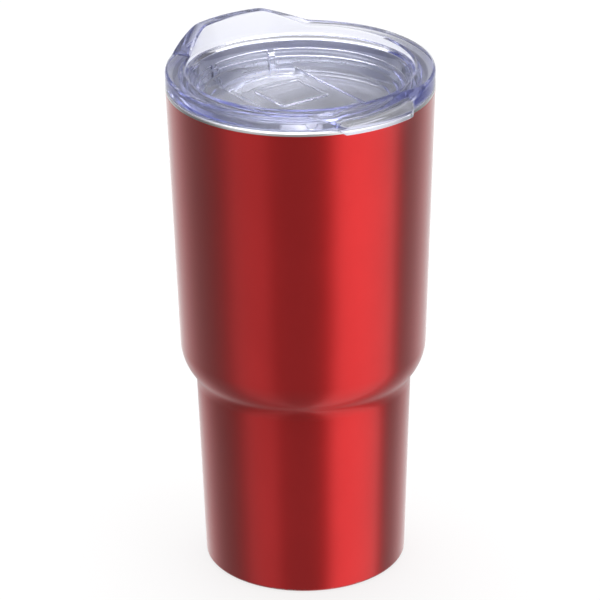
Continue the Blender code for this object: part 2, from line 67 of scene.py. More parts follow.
wall_low, wall_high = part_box("outer_wall")
liner_low, liner_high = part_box("liner_wall")
bottom_low, bottom_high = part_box("liner_bottom")
base_low, base_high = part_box("outer_base")
cover_low, cover_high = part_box("base_cover")
lid_low, lid_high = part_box("lid_body")
seal_low, seal_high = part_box("lid_seal")
plate_low, plate_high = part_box("slider_plate")
slider_seal_low, slider_seal_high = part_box("slider_seal")

RIM_R, RIM_Z = wall_high.x, wall_high.z
LIP_TOP = liner_high.z
LID_SEAT_Z = LIP_TOP + 0.3 * MM
LID_R = lid_high.x

# Facets of the fine meshes, and the angle from which an edge is kept sharp
TURNED_SIDES = 256
LID_SIDES = 240
ARC_STEPS = 4
WALL_STEP = 8 * MM
SHARP_DEG = 38.0

# Rounded edges, in fillets: where the last ring lies inside the flat face, and how wide a cutter gets
RING_INSIDE, CUT_WIDTH = 1.4, 1.3
CUT_OVER = 1.1 * MM

# Cup. The liner lies between LINER_OUT and LINER_IN inside the outer wall's face.
SHOULDER_R, SHOULDER_Z, SHOULDER_ROUND = RIM_R - 3.06 * MM, 74.46 * MM, 16.0 * MM
WAIST_R, WAIST_Z, WAIST_ROUND = RIM_R - 8.0 * MM, 67.3 * MM, 10.0 * MM
FOOT_R, FOOT_ROUND, FOOT_INNER_R = RIM_R - 10.13 * MM, 1.4 * MM, 30.6 * MM
OUTER_WALL_T = 0.6 * MM
LINER_OUT, LINER_IN = 2.8 * MM, 3.3 * MM
LIP_T = 0.95 * MM
LIP_FLARE_Z = 167.0 * MM

# Lid
LID_TOP_Z = 176.0 * MM
SPOUT_RISE = lid_high.z - LID_TOP_Z
SPOUT_FLAT_DEG, SPOUT_END_DEG, SPOUT_BEND_DEG = 17.5, 38.5, 4.0
TAB_REACH = -lid_low.y - LID_R
TAB_DROP = 1.3 * MM
TAB_FLAT_DEG, TAB_END_DEG, SCOOP_END_DEG = 16.2, 20.2, 33.0
DECK_Z, LID_FLOOR_Z, LID_UNDER_Z = 164.8 * MM, 162.7 * MM, 160.7 * MM
SKIRT_R, SKIRT_IN_R, SKIRT_LOW_Z = 39.4 * MM, 36.9 * MM, lid_low.z
GROOVE_R, GROOVE_LOW_Z, GROOVE_HIGH_Z = 38.4 * MM, 161.9 * MM, 164.9 * MM
GUSSET_DEG, GUSSET_T, GUSSET_R = 19.0, 2.0 * MM, 34.6 * MM
GUSSET_LOW_Z, GUSSET_HIGH_Z = 161.5 * MM, 168.9 * MM
CHANNEL_R = 29.2 * MM
RAIL_HALF, RAIL_TOP_Z, MOUTH_HALF = 15.3 * MM, 164.3 * MM, 14.7 * MM
HOLE_MID_R, HOLE_HALF, HOLE_HALF_DEG = 26.2 * MM, 2.1 * MM, 22.5
VENT_R, VENT_Y, VENT_CUT, VENT_SIDES = 0.9 * MM, -25.5 * MM, 6.0 * MM, 32
GATE_DEG, GATE_R, GATE_DEPTH, GATE_Z = -120.5, 2.0 * MM, 0.8 * MM, 173.4 * MM

# Slider
CLOSE_TRAVEL = 5.3 * MM
FLANGE_R, FLANGE_HALF, FLANGE_TOP_Z = plate_high.y + CLOSE_TRAVEL, plate_high.x, 164.0 * MM
PLATE_TOP_Z, PLATE_HALF, PLATE_STEP = 164.7 * MM, FLANGE_HALF - 0.6 * MM, 0.25 * MM
TAIL_CORNER = 2.5 * MM
SHOULDER_Y, NOSE_HALF, NOSE_CORNER = 13.8 * MM, 7.1 * MM, 1.2 * MM
PAD_HALF, PAD_TAIL_Y, PAD_FRONT_Y = 9.1 * MM, -3.4 * MM, 14.2 * MM
PAD_RIM, PAD_SINK = 1.3 * MM, 0.35 * MM
SEAL_HALF = HOLE_HALF + 0.2 * MM

# Camera, with its roll in radians, and its lens and sensor in millimetres as Blender takes them
CAMERA_DISTANCE, CAMERA_TURN_DEG, CAMERA_UP_DEG = 1302.5 * MM, -125.0, 24.52
CAMERA_AIM_Z, CAMERA_ROLL, CAMERA_SHIFT_X = 92.47 * MM, 0.011, -0.00468
CAMERA_LENS, CAMERA_SENSOR = 234.07, 36.0

# Studio. Angles are degrees from the camera's side, turning right, and heights go from -1 below to 1 above.
# A softbox: where it starts and ends, how soft these two edges are, and its brightness
SOFTBOXES = (
    (28.5, 91.5, 20, 8, 1.05),
    (-68, -30, 14, 14, 0.3),
)
ROOM_LIGHT = 0.33
SIDE_SHADE, SIDE_STARTS_DEG, SIDE_ENDS_DEG = 0.16, (60, 95), (150, 115)
BACKDROP_LIGHT, BACKDROP_STARTS_DEG, BACKDROP_TOP = 0.7, (105, 160), (0.5, 0.0)
OVERHEAD_LIGHT, OVERHEAD_EDGE = 1.9, (0.6, 0.92)
BELOW_SHADE, BELOW_EDGE = 0.08, (-0.62, -0.85)
BACKGROUND_LIGHT = 1.1
FLOOR_HALF, FLOOR_GAP = 12.0, 0.05 * MM
FLOOR_PAPER, FLOOR_GLOW = (0.16, 0.16, 0.16), 0.77
LAMP_PLACE, LAMP_AIM, LAMP_SIZE, LAMP_POWER = (0.15, 0.25, 1.2), (0, 0, 0.05), 1.0, 12


# ---------------------------------------------------------------- camera and studio


def add_object(name, data):
    made = bpy.data.objects.new(name, data)
    bpy.context.scene.collection.objects.link(made)
    return made


def add_camera():
    data = bpy.data.cameras.new("camera")
    data.sensor_width = CAMERA_SENSOR
    data.lens = CAMERA_LENS
    data.shift_x = CAMERA_SHIFT_X
    camera = add_object("camera", data)
    turn, up = radians(CAMERA_TURN_DEG), radians(CAMERA_UP_DEG)
    toward = Vector((cos(turn) * cos(up), sin(turn) * cos(up), sin(up)))
    camera.location = Vector((0, 0, CAMERA_AIM_Z)) + toward * CAMERA_DISTANCE
    camera.rotation_euler = (-toward).to_track_quat("-Z", "Y").to_euler()
    camera.rotation_euler.rotate_axis("Z", -CAMERA_ROLL)
    bpy.context.scene.camera = camera


def add_node(tree, kind, settings=None, **inputs):
    made = tree.nodes.new(kind)
    for name, value in (settings or {}).items():
        setattr(made, name, value)
    for name, value in inputs.items():
        made.inputs[name.replace("_", " ")].default_value = value
    return made


def math_node(tree, operation, first, second=None):
    made = add_node(tree, "ShaderNodeMath", {"operation": operation})
    for socket, value in zip(made.inputs, (first, second)):
        if isinstance(value, (int, float)):
            socket.default_value = value
        elif value is not None:
            tree.links.new(value, socket)
    return made.outputs[0]


def smooth_step(tree, value, start, end):
    made = add_node(tree, "ShaderNodeMapRange", {"interpolation_type": "SMOOTHSTEP"})
    made.inputs["From Min"].default_value = start
    made.inputs["From Max"].default_value = end
    tree.links.new(value, made.inputs["Value"])
    return made.outputs["Result"]


def look_directions(tree):
    """How far round from the camera's side a direction is, in degrees, and its height."""
    where = add_node(tree, "ShaderNodeTexCoord").outputs["Generated"]
    turn = radians(CAMERA_TURN_DEG)
    shares = []
    for axis in ((cos(turn), sin(turn), 0), (-sin(turn), cos(turn), 0), (0, 0, 1)):
        dot = add_node(tree, "ShaderNodeVectorMath", {"operation": "DOT_PRODUCT"})
        dot.inputs[1].default_value = axis
        tree.links.new(where, dot.inputs[0])
        shares.append(dot.outputs["Value"])
    front, right, up = shares
    return math_node(tree, "DEGREES", math_node(tree, "ARCTAN2", right, front)), up


def add_patch(tree, light, strength, *fades):
    """The light with a patch on it, which has its full strength where every fade is 1."""
    for fade in fades:
        strength = math_node(tree, "MULTIPLY", fade, strength)
    return math_node(tree, "ADD", light, strength)


def studio_light(tree):
    """The studio's brightness in every direction, as the tumbler sees it."""
    around, up = look_directions(tree)
    off_front = math_node(tree, "ABSOLUTE", around)
    light = ROOM_LIGHT
    for start, end, soft_start, soft_end, strength in SOFTBOXES:
        rise = smooth_step(tree, around, start - soft_start / 2, start + soft_start / 2)
        fall = smooth_step(tree, around, end + soft_end / 2, end - soft_end / 2)
        light = add_patch(tree, light, strength, rise, fall)
    side = [smooth_step(tree, off_front, *edge) for edge in (SIDE_STARTS_DEG, SIDE_ENDS_DEG)]
    light = add_patch(tree, light, -SIDE_SHADE, *side)
    behind = smooth_step(tree, off_front, *BACKDROP_STARTS_DEG)
    light = add_patch(tree, light, BACKDROP_LIGHT, behind, smooth_step(tree, up, *BACKDROP_TOP))
    light = add_patch(tree, light, OVERHEAD_LIGHT, smooth_step(tree, up, *OVERHEAD_EDGE))
    return add_patch(tree, light, -BELOW_SHADE, smooth_step(tree, up, *BELOW_EDGE))


def add_world():
    """White where the camera looks past the tumbler, and the studio for everything else."""
    world = bpy.data.worlds.new("studio")
    bpy.context.scene.world = world
    world.use_nodes = True
    tree = world.node_tree
    tree.nodes.clear()
    studio = add_node(tree, "ShaderNodeBackground")
    tree.links.new(studio_light(tree), studio.inputs["Strength"])
    white = add_node(tree, "ShaderNodeBackground", Color=(1, 1, 1, 1), Strength=BACKGROUND_LIGHT)
    mix = add_node(tree, "ShaderNodeMixShader")
    tree.links.new(add_node(tree, "ShaderNodeLightPath").outputs["Is Camera Ray"], mix.inputs[0])
    tree.links.new(studio.outputs[0], mix.inputs[1])
    tree.links.new(white.outputs[0], mix.inputs[2])
    out = add_node(tree, "ShaderNodeOutputWorld")
    tree.links.new(mix.outputs[0], out.inputs["Surface"])


def add_floor():
    """Grey paper with a glow of its own, which looks white and takes only a faint shadow."""
    work = bmesh.new()
    bmesh.ops.create_grid(work, x_segments=1, y_segments=1, size=FLOOR_HALF)
    mesh = bpy.data.meshes.new("floor")
    work.to_mesh(mesh)
    work.free()
    floor = add_object("floor", mesh)
    floor.location.z = cad_low.z - FLOOR_GAP
    paper, _, _ = new_material(
        "floor_paper",
        FLOOR_PAPER,
        0.9,
        Specular_IOR_Level=0.0,
        Emission_Color=(1, 1, 1, 1),
        Emission_Strength=FLOOR_GLOW,
    )
    mesh.materials.append(paper)
    floor.visible_glossy = False


def add_lamp():
    """A wide lamp over the tumbler, kept out of its reflections."""
    data = bpy.data.lights.new("overhead", "AREA")
    data.shape = "DISK"
    data.size = LAMP_SIZE
    data.energy = LAMP_POWER
    lamp = add_object("overhead", data)
    lamp.location = LAMP_PLACE
    lamp.rotation_euler = (Vector(LAMP_AIM) - Vector(LAMP_PLACE)).to_track_quat("-Z", "Y").to_euler()
    lamp.visible_glossy = False


def allow_long_light_paths():
    """Light turns many times inside the lid's clear rim, which goes black if it is stopped early."""
    cycles = bpy.context.scene.cycles
    cycles.max_bounces = cycles.transmission_bounces = 32
    cycles.glossy_bounces = 24


# ---------------------------------------------------------------- outlines


def rounded(corners, steps):
    """A path through the corners (x, y, radius), with each corner that has a radius drawn as an arc."""
    path = []
    for index, (x, y, radius) in enumerate(corners):
        if not radius:
            path.append((x, y))
            continue
        before, after = corners[index - 1], corners[(index + 1) % len(corners)]
        ax, ay = before[0] - x, before[1] - y
        bx, by = after[0] - x, after[1] - y
        a_len, b_len = hypot(ax, ay), hypot(bx, by)
        ax, ay, bx, by = ax / a_len, ay / a_len, bx / b_len, by / b_len
        half = abs(atan2(ax * by - ay * bx, ax * bx + ay * by)) / 2
        reach = radius / tan(half)
        mid_x, mid_y = ax + bx, ay + by
        away = radius / sin(half) / hypot(mid_x, mid_y)
        cx, cy = x + mid_x * away, y + mid_y * away
        start = atan2(y + ay * reach - cy, x + ax * reach - cx)
        end = atan2(y + by * reach - cy, x + bx * reach - cx)
        turn = (end - start + pi) % (2 * pi) - pi
        for step in range(steps + 1):
            angle = start + turn * step / steps
            path.append((cx + radius * cos(angle), cy + radius * sin(angle)))
    return path


def offset_path(path, depth, closed=False):
    """The path moved by depth to its right-hand side."""
    moved = []
    last = len(path) - 1
    for index, (x, y) in enumerate(path):
        before = path[index - 1] if closed or index > 0 else path[0]
        after = path[(index + 1) % len(path)] if closed or index < last else path[last]
        dx1, dy1 = x - before[0], y - before[1]
        dx2, dy2 = after[0] - x, after[1] - y
        len1, len2 = hypot(dx1, dy1) or 1.0, hypot(dx2, dy2) or 1.0
        nx, ny = dy1 / len1 + dy2 / len2, -dx1 / len1 - dx2 / len2
        size = hypot(nx, ny)
        share = 2 / size**2 if hypot(dx1, dy1) and hypot(dx2, dy2) else 1 / size
        moved.append((x + nx * share * depth, y + ny * share * depth))
    return moved


def between(path, high, low):
    """The part of a path that runs down from z = high to z = low."""
    kept = []
    for (x1, z1), (x2, z2) in zip(path, path[1:]):
        if z1 > high > z2:
            kept.append((x1 + (x2 - x1) * (z1 - high) / (z1 - z2), high))
        if low < z2 < high:
            kept.append((x2, z2))
        if z1 > low > z2:
            kept.append((x1 + (x2 - x1) * (z1 - low) / (z1 - z2), low))
    return kept


def with_steps(path):
    """The same path with its long straight stretches divided."""
    fine = [path[0]]
    for (x1, y1), (x2, y2) in zip(path, path[1:]):
        count = max(1, round(hypot(x2 - x1, y2 - y1) / WALL_STEP))
        fine += [(x1 + (x2 - x1) * i / count, y1 + (y2 - y1) * i / count) for i in range(1, count + 1)]
    return fine


def arc(radius, start_deg, end_deg, steps, centre=(0.0, 0.0)):
    """Points along an arc round the centre, with angles from +X towards +Y."""
    span = end_deg - start_deg
    angles = [radians(start_deg + span * step / steps) for step in range(steps + 1)]
    return [(centre[0] + radius * cos(a), centre[1] + radius * sin(a)) for a in angles]


# ---------------------------------------------------------------- meshes


def finish_mesh(work, name):
    bmesh.ops.recalc_face_normals(work, faces=work.faces)
    mesh = bpy.data.meshes.new(name)
    work.to_mesh(mesh)
    work.free()
    mesh.shade_smooth()
    mesh.set_sharp_from_angle(angle=radians(SHARP_DEG))
    return mesh


def lofted(name, rings, closed_section=False):
    """A skin over rings of points, one ring for each section, with the last section joined to the first.

    Where the sections are open, their first points make one more face, and their last points another.
    """
    work = bmesh.new()
    made = [[work.verts.new(point) for point in ring] for ring in rings]
    if not closed_section:
        work.faces.new([ring[0] for ring in made])
        work.faces.new([ring[-1] for ring in reversed(made)])
    for ring, following in zip(made, made[1:] + made[:1]):
        pairs = list(zip(ring, ring[1:], following[1:], following))
        if closed_section:
            pairs.append((ring[-1], ring[0], following[0], following[-1]))
        for corners in pairs:
            work.faces.new(corners)
    return add_object(name, finish_mesh(work, name))


def turned_rings(outline):
    """The outline (x, z) at each angle about Z."""
    turns = [2 * pi * side / TURNED_SIDES for side in range(TURNED_SIDES)]
    return [[(x * cos(turn), x * sin(turn), z) for x, z in outline] for turn in turns]


def turned(name, outline):
    """A solid turned about Z from a closed outline that stays off the axis."""
    return lofted(name, turned_rings(outline), closed_section=True)


def turned_disc(name, outline):
    """A solid turned about Z from an open outline, whose two ends are flat faces across the axis."""
    return lofted(name, turned_rings(outline))


def piled(name, layers):
    """A solid from flat closed outlines (z, outline) with equally many points, one above the other."""
    count = len(layers[0][1])
    return lofted(name, [[(*outline[index], z) for z, outline in layers] for index in range(count)])


def stacked(name, outline, layers):
    """A solid whose flat outline is drawn at each layer (z, inset), one above the other."""
    return piled(name, [(z, offset_path(outline, -inset, closed=True)) for z, inset in layers])


def quarter_round(fillet):
    """Steps (drop below the face, inset) from the side of a rounded edge to the face."""
    angles = [pi / 2 * step / ARC_STEPS for step in range(ARC_STEPS + 1)]
    return [(fillet * (1 - sin(angle)), fillet * (1 - cos(angle))) for angle in angles]


def edge_layers(z, fillet, rising):
    """Layers (z, inset) of a rounded edge at a flat face at z, the last one just inside the face.

    rising: the face is the top of the solid; otherwise it is its underside, and the layers start there.
    """
    layers = [(z - drop if rising else z + drop, inset) for drop, inset in quarter_round(fillet)]
    layers.append((z, fillet * RING_INSIDE))
    return layers if rising else layers[::-1]


def slab(name, outline, low, high, fillet):
    """A flat solid with both of its rims rounded."""
    return stacked(name, outline, edge_layers(low, fillet, False) + edge_layers(high, fillet, True))


def straight(name, outline, low, high):
    """A flat solid with sharp rims."""
    return stacked(name, outline, [(low, 0), (high, 0)])


def flare_layers(low, face_z, fillet):
    """Layers (z, widening) of a cutter that goes down from a face and rounds the face's new edge."""
    layers = [(low, 0.0)]
    layers += [(face_z - drop, widening) for drop, widening in quarter_round(fillet)]
    layers.append((face_z + CUT_OVER, fillet * CUT_WIDTH))
    return layers


def flared(name, outline, low, face_z, fillet):
    """A cutter that makes a hole whose rim is rounded."""
    return stacked(name, outline, [(z, -widening) for z, widening in flare_layers(low, face_z, fillet)])


def block(name, low, high, fillet):
    """A box between two corners, with rounded edges."""
    work = bmesh.new()
    bmesh.ops.create_cube(work, size=1.0)
    for vert in work.verts:
        vert.co = [low[i] + (high[i] - low[i]) * (vert.co[i] + 0.5) for i in range(3)]
    bmesh.ops.bevel(work, geom=work.edges, offset=fillet, segments=ARC_STEPS, profile=0.5, affect="EDGES")
    return add_object(name, finish_mesh(work, name))


def drum(name, radius, length, sides):
    """A cylinder about its own Z, centred on its origin."""
    return straight(name, arc(radius, 0, 360 - 360 / sides, sides - 1), -length / 2, length / 2)


def combine(obj, steps):
    """Applies Booleans to obj in turn. A step is (operation, other object), and the others are used up."""
    for operation, other in steps:
        modifier = obj.modifiers.new(other.name, "BOOLEAN")
        modifier.operation = operation
        modifier.object = other
        modifier.solver = "EXACT"
    bpy.context.view_layer.update()
    graph = bpy.context.evaluated_depsgraph_get()
    mesh = bpy.data.meshes.new_from_object(obj.evaluated_get(graph))
    obj.modifiers.clear()
    obj.data = mesh
    mesh.name = obj.name
    mesh.shade_smooth()
    mesh.set_sharp_from_angle(angle=radians(SHARP_DEG))
    for _, other in steps:
        bpy.data.objects.remove(other, do_unlink=True)
    return obj


# ---------------------------------------------------------------- materials


def new_material(name, colour, roughness, metallic=0.0, **more):
    made = bpy.data.materials.new(name)
    made.use_nodes = True
    shader = made.node_tree.nodes["Principled BSDF"]
    shader.inputs["Base Color"].default_value = (*colour, 1)
    shader.inputs["Roughness"].default_value = roughness
    shader.inputs["Metallic"].default_value = metallic
    for key, value in more.items():
        shader.inputs[key.replace("_", " ")].default_value = value
    return made, made.node_tree, shader


def place(tree, stretch):
    """Object coordinates stretched by a vector, in features per metre."""
    where = add_node(tree, "ShaderNodeTexCoord").outputs["Object"]
    scale = add_node(tree, "ShaderNodeMapping")
    scale.inputs["Scale"].default_value = stretch
    tree.links.new(where, scale.inputs["Vector"])
    return scale.outputs["Vector"]


def noise(tree, stretch, detail, roughness=0.55):
    """Noise on the object, from about 0.3 to 0.7."""
    made = add_node(tree, "ShaderNodeTexNoise", Scale=1.0, Detail=detail, Roughness=roughness)
    tree.links.new(place(tree, stretch), made.inputs["Vector"])
    return made.outputs["Fac"]


def remap(tree, value, low, high, start=0.3, end=0.7):
    """The value taken from start..end to low..high."""
    made = add_node(tree, "ShaderNodeMapRange")
    for key, number in (("From Min", start), ("From Max", end), ("To Min", low), ("To Max", high)):
        made.inputs[key].default_value = number
    tree.links.new(value, made.inputs["Value"])
    return made.outputs["Result"]


def mix_colours(tree, share, first, second):
    made = add_node(tree, "ShaderNodeMix", {"data_type": "RGBA"})
    tree.links.new(share, made.inputs[0])
    for socket, value in ((made.inputs[6], first), (made.inputs[7], second)):
        if isinstance(value, tuple):
            socket.default_value = (*value, 1)
        else:
            tree.links.new(value, socket)
    return made.outputs[2]


def height_above_floor(tree):
    parts = add_node(tree, "ShaderNodeSeparateXYZ")
    tree.links.new(place(tree, (1, 1, 1)), parts.inputs[0])
    return parts.outputs["Z"]


def distance_from_axis(tree):
    length = add_node(tree, "ShaderNodeVectorMath", {"operation": "LENGTH"})
    tree.links.new(place(tree, (1, 1, 0)), length.inputs[0])
    return length.outputs["Value"]


def mottled(tree, pattern, dark, light):
    """A colour that changes from dark to light with a noise pattern."""
    return mix_colours(tree, remap(tree, pattern, 0.0, 1.0), dark, light)


def paint(tree, shader, colour):
    tree.links.new(colour, shader.inputs["Base Color"])


def roughen(tree, shader, pattern, low, high):
    """Roughness that goes from low to high with a noise pattern."""
    tree.links.new(remap(tree, pattern, low, high), shader.inputs["Roughness"])


def bump(tree, shader, height, distance, strength, after=None):
    made = add_node(tree, "ShaderNodeBump", Distance=distance, Strength=strength)
    tree.links.new(height, made.inputs["Height"])
    if after:
        tree.links.new(after.outputs["Normal"], made.inputs["Normal"])
    tree.links.new(made.outputs["Normal"], shader.inputs["Normal"])
    return made


def turned_grain(tree, shader):
    """Points the shader's anisotropy round the Z axis, as on a piece finished on a lathe."""
    tangent = add_node(tree, "ShaderNodeTangent", {"direction_type": "RADIAL", "axis": "Z"})
    tree.links.new(tangent.outputs["Tangent"], shader.inputs["Tangent"])


def red_lacquer():
    """Translucent red lacquer over brushed steel, worn a little along the foot."""
    haze_weight, waist_haze = 0.7, 0.35
    haze_low, haze_mid, haze_high = WAIST_Z - 3.0 * MM, WAIST_Z + 1.0 * MM, SHOULDER_Z + 3.0 * MM
    worn_low, worn_high = 0.2 * MM, 1.3 * MM
    made, tree, shader = new_material(
        "red_lacquer",
        (0.8, 0.03, 0.035),
        0.4,
        1.0,
        Anisotropic=0.8,
        Anisotropic_Rotation=0.25,
        Specular_Tint=(0.45, 0.35, 0.35, 1.0),
        Coat_Weight=0.5,
        Coat_Roughness=0.15,
        Sheen_Roughness=0.4,
    )
    turned_grain(tree, shader)
    height = height_above_floor(tree)
    above = smooth_step(tree, height, haze_mid, haze_high)
    below = smooth_step(tree, height, haze_mid, haze_low)
    off_waist = math_node(tree, "MAXIMUM", above, below)
    haze = remap(tree, off_waist, waist_haze, haze_weight, 0.0, 1.0)
    tree.links.new(haze, shader.inputs["Sheen Weight"])
    red = mottled(tree, noise(tree, (55, 55, 30), 4.0), (0.73, 0.012, 0.014), (0.79, 0.016, 0.018))
    foot = smooth_step(tree, height, worn_high, worn_low)
    chips = smooth_step(tree, noise(tree, (420, 420, 420), 5.0), 0.52, 0.62)
    worn = math_node(tree, "MULTIPLY", foot, chips)
    paint(tree, shader, mix_colours(tree, worn, red, (0.5, 0.42, 0.41)))
    streaks = noise(tree, (90, 90, 5200), 5.0, 0.7)
    grain = noise(tree, (1500, 1500, 1500), 2.0)
    rough = math_node(tree, "ADD", remap(tree, streaks, 0.37, 0.43), remap(tree, grain, -0.015, 0.015))
    tree.links.new(rough, shader.inputs["Roughness"])
    brushed = bump(tree, shader, streaks, 0.006 * MM, 0.5)
    bump(tree, shader, grain, 0.004 * MM, 0.5, after=brushed)
    return made


def liner_steel():
    """Satin steel with fine lines round the Z axis; the lip is painted darker as a painted dark reflection,
    with a painted highlight along its rolled edge.
    """
    blend = 0.3 * MM
    highlight_r = RIM_R - 2.4 * MM
    # The lip's dark bluish colour is a painted dark reflection, and the near-white rolled edge is a painted
    # highlight.
    satin, painted_dark_lip, painted_edge_highlight = (0.85, 0.85, 0.86), (0.5, 0.5, 0.54), (0.95, 0.95, 0.95)
    dark = tuple(0.88 * part for part in satin)
    made, tree, shader = new_material(
        "liner_steel", satin, 0.5, 1.0, Anisotropic=0.92, Anisotropic_Rotation=0.25
    )
    turned_grain(tree, shader)
    steel = mottled(tree, noise(tree, (70, 70, 50), 3.0), dark, satin)
    lip = smooth_step(tree, height_above_floor(tree), LIP_FLARE_Z - blend, LIP_FLARE_Z)
    edge = smooth_step(tree, distance_from_axis(tree), highlight_r - blend, highlight_r)
    # Painted light: a dark reflection painted on the lip, and a painted highlight on its outer edge.
    painted_lip_shade_and_highlight = mix_colours(tree, edge, painted_dark_lip, painted_edge_highlight)
    paint(tree, shader, mix_colours(tree, lip, steel, painted_lip_shade_and_highlight))
    streaks = noise(tree, (110, 110, 4200), 5.0, 0.7)
    roughen(tree, shader, streaks, 0.34, 0.42)
    bump(tree, shader, streaks, 0.01 * MM, 0.5)
    return made


def spun_steel(name, colour, roughness):
    """Steel spun flat: rings round the Z axis that follow the radius."""
    made, tree, shader = new_material(name, colour, roughness, 1.0, Anisotropic=0.4)
    turned_grain(tree, shader)
    rings = add_node(tree, "ShaderNodeTexNoise", {"noise_dimensions": "1D"}, Scale=3800.0, Detail=4.0)
    tree.links.new(distance_from_axis(tree), rings.inputs["W"])
    lines = rings.outputs["Fac"]
    roughen(tree, shader, lines, roughness - 0.05, roughness + 0.09)
    dark = tuple(0.84 * part for part in colour)
    paint(tree, shader, mottled(tree, noise(tree, (90, 90, 90), 3.0), dark, colour))
    bump(tree, shader, lines, 0.015 * MM, 0.6)
    return made


def see_through(made, tree, shader, shadow_tint, depth_tint, density):
    """Lets lamps through a clear piece, and tints what is seen through a thick part of it."""
    clear = add_node(tree, "ShaderNodeBsdfTransparent")
    clear.inputs["Color"].default_value = (*shadow_tint, 1)
    mix = add_node(tree, "ShaderNodeMixShader")
    shadow = add_node(tree, "ShaderNodeLightPath").outputs["Is Shadow Ray"]
    out = tree.nodes["Material Output"]
    tree.links.new(shadow, mix.inputs[0])
    tree.links.new(shader.outputs[0], mix.inputs[1])
    tree.links.new(clear.outputs[0], mix.inputs[2])
    tree.links.new(mix.outputs[0], out.inputs["Surface"])
    depth = add_node(tree, "ShaderNodeVolumeAbsorption", Density=density)
    depth.inputs["Color"].default_value = (*depth_tint, 1)
    tree.links.new(depth.outputs[0], out.inputs["Volume"])
    return made


def clear_plastic(name, roughness, density):
    """Polished clear plastic, blue-violet where it is thick, with faint handling marks."""
    tint, shadow_tint, depth_tint = (0.97, 0.975, 1.0), (0.93, 0.94, 0.98), (0.42, 0.46, 0.88)
    made, tree, shader = new_material(name, tint, roughness, Transmission_Weight=1.0, IOR=1.5)
    roughen(tree, shader, noise(tree, (260, 260, 260), 4.0), roughness, roughness + 0.05)
    bump(tree, shader, noise(tree, (900, 300, 900), 3.0), 0.004 * MM, 0.4)
    return see_through(made, tree, shader, shadow_tint, depth_tint, density)


def silicone():
    """Soft clear silicone, satin, with a little dust."""
    tint, shadow_tint, depth_tint = (0.88, 0.89, 0.92), (0.85, 0.86, 0.9), (0.6, 0.62, 0.7)
    made, tree, shader = new_material("silicone", tint, 0.3, Transmission_Weight=1.0, IOR=1.41)
    grain = noise(tree, (1400, 1400, 1400), 3.0)
    dust = noise(tree, (160, 160, 160), 4.0)
    roughen(tree, shader, grain, 0.24, 0.36)
    paint(tree, shader, mottled(tree, dust, (0.8, 0.81, 0.85), (0.9, 0.91, 0.94)))
    bump(tree, shader, grain, 0.01 * MM, 0.5)
    return see_through(made, tree, shader, shadow_tint, depth_tint, 20.0)


def copper_foil():
    """Thin copper foil with the creases of its wrapping."""
    made, tree, shader = new_material("copper_wrap", (0.85, 0.42, 0.27), 0.25, 1.0)
    creases = add_node(tree, "ShaderNodeTexVoronoi", {"feature": "DISTANCE_TO_EDGE"}, Scale=1.0)
    tree.links.new(place(tree, (160, 160, 70)), creases.inputs["Vector"])
    cloud = noise(tree, (120, 120, 60), 4.0)
    paint(tree, shader, mottled(tree, cloud, (0.72, 0.32, 0.2), (0.9, 0.5, 0.33)))
    roughen(tree, shader, cloud, 0.2, 0.38)
    bump(tree, shader, creases.outputs["Distance"], 0.3 * MM, 0.6)
    return made


def sealing_bead():
    """Dark solder glass, fused to a glossy bead with small bubbles."""
    made, tree, shader = new_material("sealing_bead", (0.05, 0.08, 0.11), 0.12, Coat_Weight=0.5)
    bubbles = noise(tree, (1500, 1500, 1500), 3.0)
    paint(tree, shader, mottled(tree, bubbles, (0.03, 0.05, 0.08), (0.12, 0.17, 0.21)))
    roughen(tree, shader, bubbles, 0.08, 0.22)
    bump(tree, shader, bubbles, 0.03 * MM, 0.5)
    return made


def sintered_getter():
    """Pressed and sintered metal powder."""
    made, tree, shader = new_material("sintered_powder", (0.2, 0.2, 0.21), 0.75, 0.5)
    grain = noise(tree, (2600, 2600, 2600), 4.0, 0.7)
    paint(tree, shader, mottled(tree, grain, (0.11, 0.11, 0.12), (0.3, 0.3, 0.31)))
    roughen(tree, shader, grain, 0.6, 0.85)
    bump(tree, shader, grain, 0.06 * MM, 0.8)
    return made


# ---------------------------------------------------------------- cup


def side_corners():
    return [
        (RIM_R, RIM_Z, 0),
        (SHOULDER_R, SHOULDER_Z, SHOULDER_ROUND),
        (WAIST_R, WAIST_Z, WAIST_ROUND),
    ]


def side_path():
    """The cup's side from the rim down to the floor, which the liner follows."""
    return with_steps(rounded(side_corners() + [(FOOT_R, 0.0, 0)], 12))


def make_body_shell():
    """The outer wall: a thin shell that tapers to the shoulder, the waist and the foot's turned edge."""
    corners = side_corners() + [(FOOT_R, wall_low.z, FOOT_ROUND), (FOOT_INNER_R, wall_low.z, 0)]
    outside = with_steps(rounded(corners, 12))
    inside = offset_path(outside, OUTER_WALL_T)
    return turned("body_shell", outside + inside[::-1])


def make_liner():
    """The liner wall, turned outwards at its mouth as the polished lip."""
    under_lip = LIP_TOP - LIP_T
    side = side_path()
    out_side = between(offset_path(side, LINER_OUT), LIP_FLARE_Z, liner_low.z)
    in_side = between(offset_path(side, LINER_IN), LIP_FLARE_Z, liner_low.z)
    lip = rounded(
        [
            (in_side[0][0], LIP_FLARE_Z, 0),
            (in_side[0][0] + 0.2 * MM, LIP_TOP, 1.0 * MM),
            (RIM_R, LIP_TOP, 0.33 * MM),
            (RIM_R, under_lip, 0.1 * MM),
            (out_side[0][0] + 0.2 * MM, under_lip, 0.3 * MM),
            (out_side[0][0], LIP_FLARE_Z, 0),
        ],
        6,
    )
    return turned("steel_liner", lip + out_side[1:] + in_side[:0:-1])


def make_liner_bottom():
    """The shallow dish that closes the liner."""
    hub, floor_z = 0.4 * MM, 8.0 * MM
    out_r, in_r = bottom_high.x, bottom_high.x - 0.5 * MM
    low_z, top_z = bottom_low.z, bottom_high.z
    inside = rounded([(hub, floor_z, 0), (in_r, floor_z, 2.7 * MM), (in_r, top_z, 0)], 10)
    outside = rounded([(out_r, top_z, 0), (out_r, low_z, 3.2 * MM), (hub, low_z, 0)], 10)
    return turned_disc("steel_liner_bottom", inside + outside)


